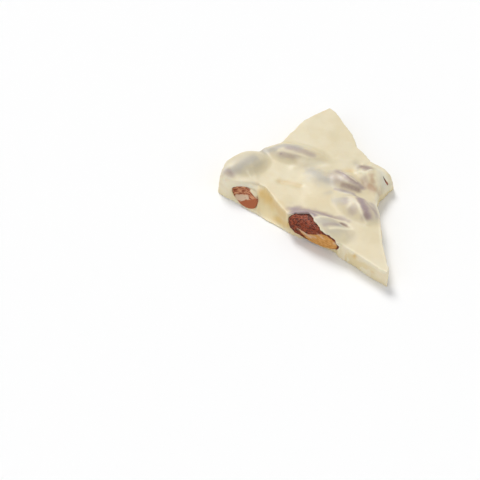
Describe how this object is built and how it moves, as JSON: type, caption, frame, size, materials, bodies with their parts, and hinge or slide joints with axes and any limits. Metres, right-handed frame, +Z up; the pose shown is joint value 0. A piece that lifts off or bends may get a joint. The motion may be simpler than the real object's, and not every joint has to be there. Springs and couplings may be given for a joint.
{
  "type": "white chocolate almond bark",
  "caption": "Broken piece of white chocolate bark: a thin poured slab with bumps over whole almonds, some cut and showing at its broken edges.",
  "frame": {"origin": "under the middle of the piece, on the flat underside that it rests on", "axes": "+Z up, out of the poured top; +Y along the longest extent, towards the back corner; +X to the right"},
  "size_m": [0.0626, 0.0898, 0.0099],
  "materials": {
    "white_chocolate": "satin",
    "almond_skin": "satin"
  },
  "bodies": {
    "root": {"bark": "white_chocolate", "almond_front": "almond_skin", "almond_left": "almond_skin", "almond_right": "almond_skin"}
  },
  "joints": []
}
